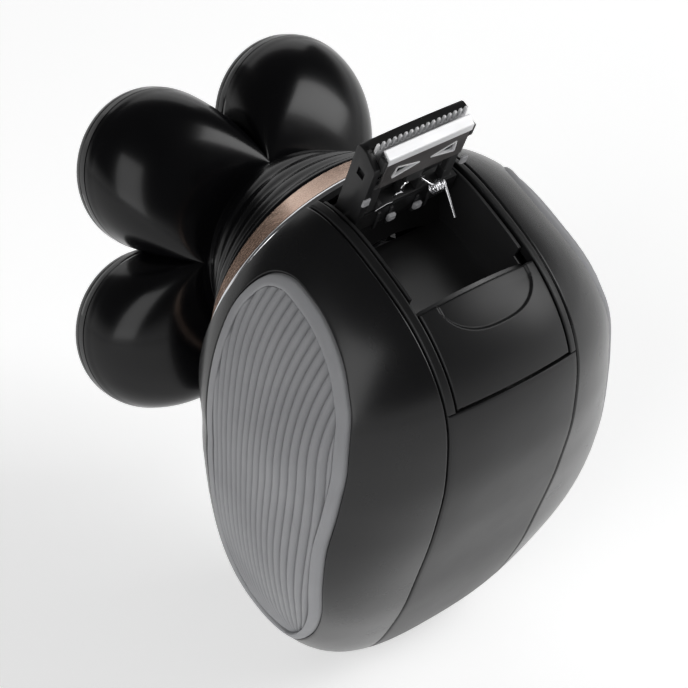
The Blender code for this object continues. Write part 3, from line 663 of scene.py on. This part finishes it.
wide, mouth = opening_ring(0, -1.2, 0.8), head_circle(19.2, -4.5)
inner_wide, inner_mouth = opening_ring(0, -0.4, 3.6), head_circle(17.95, -4.5)
back_wide = opening_ring(0, -0.4, 2.2)


def collar_part(name, mat, slot, first, last, grooves=()):
    """Length of the cone between the body's edge and the head, with its wall behind it."""
    shares = [first + (last - first) * k / 40 for k in range(41)]
    rings = []
    for share in shares:
        dip = sum(0.6 * math.exp(-((share - at) / width)**2) for at, width in grooves)
        rings.append(between(wide, mouth, share, -dip))
    rings += [between(inner_wide, inner_mouth, share) for share in (last, (first + last) / 2, first)]
    Build().stack(rings, closed=True).piece(name, mat, "body", replaces=("collar_ring",), slot=slot, angle=50)


collar_part("rose_collar", ROSE, "rose_metal", 0.03, 0.3)
collar_part("black_collar", PIANO, "gloss_black", 0.31, 0.99,
            ((0.34, 0.02), (0.48, 0.05), (0.66, 0.05), (0.84, 0.05)))
proud = between(wide, wide, 0, 0.15)
rim = [back_wide, [p - OPENING_OUT * 0.75 for p in wide], [p - OPENING_OUT * 0.5 for p in proud],
       [p - OPENING_OUT * 0.15 for p in proud], between(wide, mouth, 0.02), inner_wide]
Build().stack(rim, closed=True).piece("polished_rim", BRIGHT, "body", replaces=("collar_ring",), slot="steel",
                                      angle=60)

# the seat behind the collar
SEAT_CENTRE = np.array([0, -8.2, 72.4])


def seat_circle(radius, behind):
    turns = [2 * math.pi * i / RING_STEPS for i in range(RING_STEPS)]
    centre = SEAT_CENTRE - OPENING_OUT * behind
    return [centre + np.array([radius * math.sin(a), 0, 0]) + OPENING_UP * radius * math.cos(a)
            for a in turns]


seat = [opening_ring(3.5, 0.2), opening_ring(3.5, 1.2), seat_circle(13.5, 1.2), seat_circle(13.5, 0.4),
        seat_circle(14.0, 0.2)]
Build().stack(seat, closed=True).piece("collar_seat_plate", MATT, "body", replaces=("collar_seat",),
                                       slot="matt_black")

# ------------------------------------------------------------------ the lobed head
LOBES, LOBE_CIRCLE, LOBE_RADIUS, RIM_OUT = 5, 24.0, 14.2, 16.2
FLOWER_STEPS = 400


def lobe_angle(k):
    return math.radians(54 + 72 * k)


def flower_radius(angle, grow=0.0, soft=0.0):
    """Outline of five overlapping circles; soft fills the valleys between them a little."""
    step = 2 * math.pi / LOBES
    away = (angle - lobe_angle(0) + step / 2) % step - step / 2
    radius = LOBE_RADIUS + grow
    reach = LOBE_CIRCLE * math.cos(away) + math.sqrt(max(radius**2 - (LOBE_CIRCLE * math.sin(away))**2, 0.0))
    near = abs(abs(away) - step / 2)
    return reach + soft * math.exp(-(near / 0.05)**2)


def flower_ring(share, root, grow, height, soft=0.0):
    ring = []
    for i in range(FLOWER_STEPS):
        a = lobe_angle(0) + 2 * math.pi * i / FLOWER_STEPS
        r = root + (flower_radius(a, grow, soft) - root) * share
        ring.append((r * math.cos(a), r * math.sin(a), height))
    return ring


def dome(root, root_out, grow, steps, soft):
    rings = []
    for k in range(1, steps + 1):
        s = math.pi / 2 * k / steps
        height = root_out + (RIM_OUT - root_out) * (1 - math.cos(s))
        if height > RIM_OUT - 3.0:
            break
        rings.append(flower_ring(math.sin(s), root, grow, height, soft))
    return rings


def neck(profile):
    return [flower_ring(0.0, r, 0.0, z) for r, z in profile]


housing = Build()
outer = neck([(15.4, -7), (15.6, -6.8), (15.6, -3.5), (15.8, -3.3), (17.3, -3.3), (17.55, -3.1),
              (17.6, -2.6), (17.6, -1.1), (17.45, -0.85), (16.75, -0.8), (16.6, -0.6), (16.6, -0.3),
              (16.75, -0.1), (16.95, 0.2), (17.0, 0.45)])
outer += dome(17.0, 0.6, 0.0, 44, 0.5)
last = RIM_OUT - 2.9
for share, height, grow in ((0.986, last, 0.0), (0.992, last + 0.5, 0.0), (0.996, last + 0.95, 0.0),
                            (0.988, last + 1.02, 0.0), (0.988, last + 1.2, 0.0), (0.998, last + 1.27, 0.0),
                            (1.0, last + 2.0, 0.0), (1.0, RIM_OUT - 0.15, 0.0), (0.994, RIM_OUT, 0.0)):
    outer.append(flower_ring(share, 17.0, grow, height, 0.4))
inner = neck([(13.6, -7), (13.6, 2.2)])
inner += [flower_ring(share, 15.2, -1.6, z) for share, z in ((0.5, 4.4), (0.87, 9.4), (1.0, RIM_OUT))]
housing.stack(outer + inner[::-1], closed=True)
housing.piece("petal_housing", PIANO, "head", replaces=("head_housing",), slot="gloss_black", angle=30,
              frame_matrix=HEAD_FRAME)

plate = Build().stack([flower_ring(1, 10, -0.25, 16.5), flower_ring(1, 10, -0.1, 16.65),
                       flower_ring(1, 10, -0.1, 17.3), flower_ring(1, 10, -0.2, 17.7),
                       flower_ring(1, 10, -0.45, 17.98), flower_ring(1, 10, -0.8, 18.1)])
plate = plate.piece("petal_face", PIANO, "head", replaces=("head_front_plate",), slot="gloss_black",
                    frame_matrix=HEAD_FRAME)
spots = [(LOBE_CIRCLE * math.cos(lobe_angle(k)), LOBE_CIRCLE * math.sin(lobe_angle(k))) for k in range(LOBES)]
plate_holes = [Build().turned([(0, 15), (11.7, 15), (11.7, 20), (0, 20)], 96, centre=spot)
               .piece("hole", MATT, "head", frame_matrix=HEAD_FRAME) for spot in spots]
carve(plate, *plate_holes)

CAP_PROFILE = [(0.0, 19.72), (1.6, 19.74), (2.0, 19.68), (2.3, 19.74), (2.6, 19.8), (4.3, 19.8), (4.6, 19.72),
               (4.9, 19.72), (5.2, 19.8), (6.9, 19.8), (7.2, 19.7), (7.5, 19.7), (7.8, 19.78), (9.5, 19.76),
               (9.9, 19.66), (10.5, 19.4), (10.95, 19.0), (11.15, 18.5), (11.2, 18.0), (11.2, 15.0)]
SLOT_ZONES = {(2.6, 4.3): 24, (5.2, 6.9): 48, (7.8, 9.5): 72}


def slotted_cap(spot):
    """Perforated guard: rings of fine radial slots with solid lands between them."""
    build = Build()
    thick = 0.42
    spokes = 144
    for k in range(len(CAP_PROFILE) - 1):
        (r0, z0), (r1, z1) = CAP_PROFILE[k], CAP_PROFILE[k + 1]
        count = SLOT_ZONES.get((r0, r1))
        for j in range(spokes):
            if count and (j * count // spokes * 2 + (j * count * 2 // spokes) % 2) % 2:
                continue
            a, b = 2 * math.pi * j / spokes, 2 * math.pi * (j + 1) / spokes
            corners = [(r0, a, z0), (r1, a, z1), (r1, b, z1), (r0, b, z0)]
            top = [(spot[0] + r * math.cos(t), spot[1] + r * math.sin(t), z) for r, t, z in corners]
            start = len(build.points)
            build.points.extend(top)
            if r0 == 0:
                build.faces.append((start, start + 1, start + 2))
                continue
            build.faces.append(tuple(range(start, start + 4)))
            if count:
                build.points.extend([(x, y, z - thick) for x, y, z in top])
                for m, n in ((0, 1), (1, 2), (2, 3), (3, 0)):
                    build.faces.append((start + m, start + n, start + 4 + n, start + 4 + m))
    build.turned([(10.8, 15.0), (10.8, 18.5), (9.6, 18.9), (9.55, 19.35), (10.6, 18.95), (11.0, 18.4),
                  (11.18, 15.0)], 96, closed=True, centre=spot)
    return build


for k, spot in enumerate(spots):
    n = str(k + 1)
    slotted_cap(spot).piece("slotted_cap_" + n, STEEL, "cutter_cap_" + n, replaces=("cutter_cap_" + n,),
                            slot="steel", frame_matrix=HEAD_FRAME, angle=28)
    retainer = Build().turned([(10.45, 15.2), (11.0, 15.2), (11.0, 14.75), (10.45, 14.75)], 64, closed=True,
                              centre=spot)
    retainer.piece("cap_retainer_" + n, MATT, "cutter_cap_" + n, frame_matrix=HEAD_FRAME)
    carry_over("inner_cutter_" + n, BRIGHT)
    carry_over("drive_gear_" + n, NATURAL)

# ------------------------------------------------------------------ trimmer bay and foot
BAY_START = math.radians(101.3)
BAY_END = SLIDER_TOP + math.radians(0.6)
SLIDER_ROOM = SLIDER_TOP + math.radians(4.6)
tub = Build()


def bay_section(angle, top):
    """Closed U-shaped section of the tub at one angle; top is how far the walls stop below the egg."""
    half = [(10.95, top + 0.15), (10.82, top), (10.48, top), (10.35, top + 0.15), (10.35, 10.6), (10.1, 11.4),
            (9.4, 11.8)]
    shape = half + [(-x, sink) for x, sink in reversed(half)] + [(-10.95, 12.6), (10.95, 12.6)]
    return [egg_point(x, angle, sink) for x, sink in shape]


angles = [BAY_START + (SLIDER_ROOM - BAY_START) * k / 30 for k in range(31)]
sections = [bay_section(a, 0.6) for a in angles]
sections += [bay_section(SLIDER_ROOM - 0.002, 2.9)]
sections += [bay_section(SLIDER_ROOM + (BAY_END - SLIDER_ROOM) * k / 4, 2.9) for k in range(1, 5)]
tub.stack(sections)
for a0, a1, top in ((BAY_START, BAY_START - math.radians(1.0), 4.2),
                    (BAY_END + math.radians(1.2), BAY_END, 2.9)):
    wall = []
    for a in (a0, a1):
        xs = np.linspace(-10.6, 10.6, 21)
        wall.append([egg_point(x, a, top) for x in xs] + [egg_point(x, a, 12.4) for x in xs[::-1]])
    tub.stack(wall)
tub.piece("trimmer_tub", TUB, "body", replaces=("trimmer_bay",), slot="matt_black", angle=35)

foot = Build()
strip(foot, -BAND_EDGE, BAND_EDGE, FOOT_BACK, FOOT_FRONT, 40, 30, wall=5.0)
foot.points = [(x, y, max(z, 0.0)) for x, y, z in foot.points]
foot.piece("standing_foot", MATT, "body", replaces=("base_foot",), slot="matt_black", angle=35)

# ------------------------------------------------------------------ pop-up trimmer, in its hinge's frame
TRIMMER = Matrix.Translation(Vector((0, 1.6, 95.7)) * MM) @ Matrix.Rotation(math.radians(68.7), 4, "X")
ARM = 9.9


def rounded_prism(build, outline, x0, x1, soft=0.25):
    """Outline in (y, z) extruded across X with softened end edges."""
    centre = np.mean(outline, axis=0)
    rings = []
    for x, shrink in ((x0, soft), (x0 + soft * 0.3, soft * 0.3), (x0 + soft, 0), (x1 - soft, 0),
                      (x1 - soft * 0.3, soft * 0.3), (x1, soft)):
        ring = []
        for y, z in outline:
            away = np.array([y, z]) - centre
            d = away / max(float(np.linalg.norm(away)), 1e-6) * shrink
            ring.append((x, y - d[0], z - d[1]))
        rings.append(ring)
    return build.stack(rings)


hub = [(-2.5 * math.sin(math.radians(a)), 2.5 * math.cos(math.radians(a))) for a in range(0, 181, 10)]
arm = Build()
wall_outline = hub + [(3.0, -2.5), (14.6, -2.42), (15.2, -2.2), (16.45, 0.1), (16.6, 0.5), (16.6, 1.9),
                      (16.4, 2.3), (15.9, 2.5)]
for side in (1, -1):
    x0, x1 = sorted((side * (ARM - 1.25), side * ARM))
    rounded_prism(arm, wall_outline, x0, x1, 0.2)
rounded_prism(arm, hub + [(3.2, -2.5), (3.2, 2.5)], -ARM + 0.3, ARM - 0.3, 0.1)
lid = []
for k in range(25):
    x = -ARM + 0.3 + (2 * ARM - 0.6) * k / 24
    arch = 0.75 * (1 - (x / ARM)**2)
    lid.append([(x, 2.0, 1.3), (x, 2.0, 2.5), (x, 15.7 + 0.3 * arch, 2.5), (x, 16.3 + 0.35 * arch, 2.38),
                (x, 16.6, 2.0), (x, 16.6, 0.75), (x, 15.2, 0.75), (x, 15.0, 1.3)])
arm.stack(lid)
arm = arm.piece("trimmer_body", BAND, "trimmer_arm", replaces=("trimmer_arm",), slot="satin_black",
                frame_matrix=TRIMMER, angle=35)

inside = Build()
inside.box((-8.7, 2.8, -2.1), (8.7, 3.5, 1.4), 0.1)
inside.box((-8.7, 9.2, -1.9), (8.7, 9.9, -1.2), 0.1)
inside.box((-8.7, 3.2, 0.2), (8.7, 9.6, 1.4), 0.1)
for x in (-7.4, 7.4):
    inside.box((x - 0.9, 3.4, -2.1), (x + 0.9, 9.6, -0.9), 0.15)
inside.box((0.6, 3.3, -1.6), (1.6, 5.4, -0.2), 0.1)
inside.box((-2.6, 3.3, -2.0), (-1.6, 6.6, -0.2), 0.1)
inside.box((-6.9, 3.3, -2.2), (-6.4, 5.6, -0.6), 0.05)
inside.box((5.6, 2.9, -2.45), (6.4, 5.0, -1.2), 0.1)
for x in (5.5, 3.1, -2.0, -4.4):
    inside.box((x - 0.3, -1.7, -2.75), (x + 0.3, 2.6, -2.2), 0.08)
inside.piece("trimmer_inner_frame", MATT, "trimmer_arm", frame_matrix=TRIMMER)

tabs = Build()
for side in (1, -1):
    x0, x1 = sorted((side * 8.75, side * 10.05))
    tabs.box((x0, 6.6, -2.75), (x1, 8.3, -2.3), 0.12)
tabs.piece("trimmer_tabs", PAD_RUBBER, "trimmer_arm", frame_matrix=TRIMMER)
notch = Build().box((ARM - 0.55, 11.2, -0.75), (ARM + 0.5, 12.9, 0.85), 0.0).piece(
    "notch", MATT, "trimmer_arm", frame_matrix=TRIMMER)
carve(arm, notch, angle=35)


def teeth(build, half, back, root, tip, count, low, high, taper):
    """A plate with separate square-ended teeth, each narrowing a little to its tip."""
    build.box((-half, back, low), (half, root, high), 0.04)
    pitch = 2 * half / (count - 0.5)
    for k in range(count):
        x1 = half - k * pitch
        x0 = x1 - pitch / 2
        rings = []
        for y, inset, under, over in ((root - 0.1, 0, 0, 0), (tip - 0.15, taper, 0, 0),
                                      (tip, taper, 0.12, 0.08)):
            left, right = x0 + inset, x1 - inset
            rings.append([(left, y, low + under), (right, y, low + under), (right, y, high - over),
                          (left, y, high - over)])
        build.stack(rings)
    return build


# the comb's pale steel colour carries a painted glint on its teeth
teeth(Build(), 8.5, 10.0, 16.7, 18.2, 17, -0.1, 0.35, 0.1).piece(
    "guard_comb", GLINT_PALE_STEEL, "trimmer_arm", replaces=("trimmer_comb",), slot="steel", frame_matrix=TRIMMER)
teeth(Build(), 7.6, 9.7, 15.8, 17.0, 13, -0.95, -0.45, 0.12).piece(
    "moving_blade", STEEL, "trimmer_blade", replaces=("trimmer_blade",), slot="steel", frame_matrix=TRIMMER)

# the cover plate's dark steel colour is painted shade of the plate lying under the bar
plate_cover = Build().box((-7.9, 10.2, -2.6), (7.9, 16.1, -2.2), 0.1).piece(
    "cover_plate", SHADED_DARK_STEEL, "trimmer_arm", replaces=("blade_cover",), slot="steel", frame_matrix=TRIMMER)
panes = []
for side in (1, -1):
    corners = [(side * 1.1, 13.1), (side * 5.9, 11.9), (side * 6.3, 12.4), (side * 5.6, 14.4)]
    pane = Build().stack([[(x, y, -3.4) for x, y in corners], [(x, y, -1.4) for x, y in corners]])
    panes.append(pane.piece("pane", MATT, "trimmer_arm", frame_matrix=TRIMMER))
carve(plate_cover, *panes)
# thin pale strips round the cover plate's windows: a painted glint on the windows' cut edges, drawn in the
# pale steel
window_glint_frames = Build()
for side in (1, -1):
    path = [(side * 1.1, 13.1), (side * 5.9, 11.9), (side * 5.6, 14.4)]
    for (xa, ya), (xb, yb) in zip(path, path[1:] + path[:1]):
        d = np.array([xb - xa, yb - ya])
        across = np.array([-d[1], d[0]]) / np.linalg.norm(d) * 0.13
        quad = [(xa - across[0], ya - across[1]), (xb - across[0], yb - across[1]),
                (xb + across[0], yb + across[1]), (xa + across[0], ya + across[1])]
        window_glint_frames.stack([[(x, y, -2.68) for x, y in quad], [(x, y, -2.2) for x, y in quad]])
window_glint_frames.piece("cover_window_glint_edges", GLINT_PALE_STEEL, "trimmer_arm", frame_matrix=TRIMMER)
# the bar's pale steel colour carries a painted glint along the cover's front edge
bar = Build()
profile = [(15.9, -2.15), (15.9, -2.6), (16.0, -2.72), (17.35, -2.72), (17.5, -2.62), (18.02, -1.2),
           (17.9, -1.0), (17.6, -1.0), (17.1, -2.15)]
bar.stack([[(x, y, z) for y, z in profile] for x in (-7.95, -7.85, 7.85, 7.95)])
bar.piece("cover_bar", GLINT_PALE_STEEL, "trimmer_arm", frame_matrix=TRIMMER)
hooks = Build()
for side in (1, -1):
    x0, x1 = sorted((side * 7.95, side * 8.6))
    hooks.box((x0, 14.4, -2.65), (x1, 16.9, -1.15), 0.1)
    hooks.box((x0, 13.6, -2.3), (x1, 14.4, -1.15), 0.1)
hooks.piece("cover_hooks", MATT, "trimmer_arm", frame_matrix=TRIMMER)

fork = Build().box((-1.6, 7.0, -2.1), (1.6, 9.4, -1.2), 0.15).box((-0.7, 7.2, -1.3), (0.7, 9.7, -0.55), 0.1)
fork.piece("rocker_fork", MATT, "trimmer_blade", replaces=("drive_fork",), slot="white_plastic",
           frame_matrix=TRIMMER)
for label, middle in (("left", 3.1), ("right", -2.0)):
    pad = Build().box((middle - 0.75, -0.1, -3.5), (middle + 0.75, 1.3, -2.75), 0.18)
    pad.box((middle - 0.4, 0.5, -3.56), (middle + 0.4, 0.65, -3.45), 0.02)
    pad.piece("soft_pad_" + label, PAD_RUBBER, "trimmer_arm", replaces=("rest_pad_" + label,),
              slot="grey_rubber", frame_matrix=TRIMMER)


def wire(build, path, radius, sides=10):
    """A round wire along a path, with its frame carried from point to point."""
    path = [Vector(p) for p in path]
    normal = (path[1] - path[0]).orthogonal().normalized()
    rings = []
    for i, point in enumerate(path):
        ahead = (path[min(i + 1, len(path) - 1)] - path[max(i - 1, 0)]).normalized()
        normal = (normal - ahead * normal.dot(ahead)).normalized()
        side = ahead.cross(normal)
        turns = [2 * math.pi * k / sides for k in range(sides)]
        rings.append([tuple(point + (normal * math.cos(a) + side * math.sin(a)) * radius) for a in turns])
    return build.stack(rings)


COIL_RADIUS, COIL_PITCH, COIL_TURNS, TURN_STEPS = 0.95, 0.5, 4, 30
coil = [(-3.5 - COIL_PITCH * i / TURN_STEPS, 4.4 + COIL_RADIUS * math.cos(2 * math.pi * i / TURN_STEPS),
         -3.4 + COIL_RADIUS * math.sin(2 * math.pi * i / TURN_STEPS))
        for i in range(COIL_TURNS * TURN_STEPS + 1)]
end = Vector(coil[-1])
leg = smooth_curve([tuple(end), tuple(end + Vector((0, -0.7, -1.0))), tuple(end + Vector((0, -2.2, -2.9))),
                    (end.x, 1.6, -8.2)], False, 8)
start = Vector(coil[0])
tail = smooth_curve([(start.x + 1.6, start.y + 0.9, start.z + 1.4),
                     (start.x + 0.8, start.y + 0.5, start.z + 0.4), tuple(start)], False, 6)
spring = wire(Build(), [tuple(p) for p in tail[:-1]] + coil + [tuple(p) for p in leg[1:]], 0.19)
spring.piece("lid_spring", WIRE_STEEL, "trimmer_arm", replaces=("trimmer_spring",), slot="spring_steel",
             frame_matrix=TRIMMER)
clip = [(3.6, 5.2, -2.5), (3.2, 6.2, -2.6), (2.0, 5.9, -2.6), (2.7, 6.9, -2.6), (2.3, 7.8, -2.4),
        (1.3, 7.5, -2.2)]
clip = wire(Build(), [tuple(p) for p in smooth_curve(clip, False, 5)], 0.17)
wire(clip, [(6.6, 3.6, -2.55), (4.6, 4.3, -2.6), (3.4, 3.9, -2.5)], 0.08)
clip.piece("rocker_clip", BRIGHT, "trimmer_arm", frame_matrix=TRIMMER)

# ------------------------------------------------------------------ CAD pieces shown as they are
for names, mat in ((("hinge_pin", "motor_can", "motor_shaft", "mount_screw_1", "mount_screw_2"), STEEL),
                   (("motor_mount", "gear_retaining_plate", "sun_gear"), NATURAL),
                   (("battery_cell",), SHRINK), (("circuit_board",), SOLDER_MASK),
                   (("tactile_switch",), MATT), (("socket_pin",), BRASS)):
    for cad_name in names:
        carry_over(cad_name, mat)

# ------------------------------------------------------------------ floor, light and camera
floor_mat, tree, shader = node_tree("paper_floor")
tree.links.new(two_tone(tree, noise(tree, 3, 2), (0.86, 0.86, 0.86), (0.88, 0.88, 0.88)),
               shader.inputs["Base Color"])
shader.inputs["Roughness"].default_value = 0.9
shader.inputs["Specular IOR Level"].default_value = 0.1
shader.inputs["Emission Color"].default_value = (1, 1, 1, 1)
shader.inputs["Emission Strength"].default_value = 0.5
floor_mesh = bpy.data.meshes.new("floor")
floor_mesh.from_pydata([(-6, -6, 0), (6, -6, 0), (6, 6, 0), (-6, 6, 0)], [], [(0, 1, 2, 3)])
floor_mesh.materials.append(floor_mat)
floor = bpy.data.objects.new("floor", floor_mesh)
bpy.context.collection.objects.link(floor)


def soft_box(name, place, aim, size, power):
    lamp = bpy.data.lights.new(name, "AREA")
    lamp.shape = "RECTANGLE"
    lamp.size, lamp.size_y = size
    lamp.energy = power
    obj = bpy.data.objects.new(name, lamp)
    obj.location = place
    obj.rotation_euler = (Vector(aim) - Vector(place)).to_track_quat("-Z", "Y").to_euler()
    bpy.context.collection.objects.link(obj)
    return obj


AIM = (0, 0, 0.06)
soft_box("key", (-0.75, 0.45, 0.7), AIM, (0.5, 0.9), 7)
soft_box("left_fill", (0.9, 0.3, 0.55), AIM, (0.6, 0.9), 4)
soft_box("back", (-0.4, -0.9, 0.5), AIM, (1.1, 0.5), 1.6)

world = bpy.data.worlds.new("studio")
bpy.context.scene.world = world
world.use_nodes = True
tree = world.node_tree
background = tree.nodes["Background"]
place = tree.nodes.new("ShaderNodeTexCoord")
split = tree.nodes.new("ShaderNodeSeparateXYZ")
ramp = tree.nodes.new("ShaderNodeValToRGB")
ramp.color_ramp.elements[0].position = 0.04
ramp.color_ramp.elements[0].color = (1, 1, 1, 1)
ramp.color_ramp.elements[1].position = 0.26
ramp.color_ramp.elements[1].color = (0.06, 0.06, 0.06, 1)
tree.links.new(place.outputs["Generated"], split.inputs["Vector"])
tree.links.new(split.outputs["Z"], ramp.inputs["Fac"])
tree.links.new(ramp.outputs["Color"], background.inputs["Color"])
background.inputs["Strength"].default_value = 1.0
bpy.context.scene.view_settings.view_transform = "Standard"

camera_data = bpy.data.cameras.new("camera")
camera_data.lens = 102.3
camera_data.sensor_width = 36
camera_data.clip_start = 0.01
camera = bpy.data.objects.new("camera", camera_data)
camera.location = (0.1516, 0.1933, 0.2777)
camera.rotation_euler = (math.radians(49), 0, math.radians(143.5))
bpy.context.collection.objects.link(camera)
bpy.context.scene.camera = camera
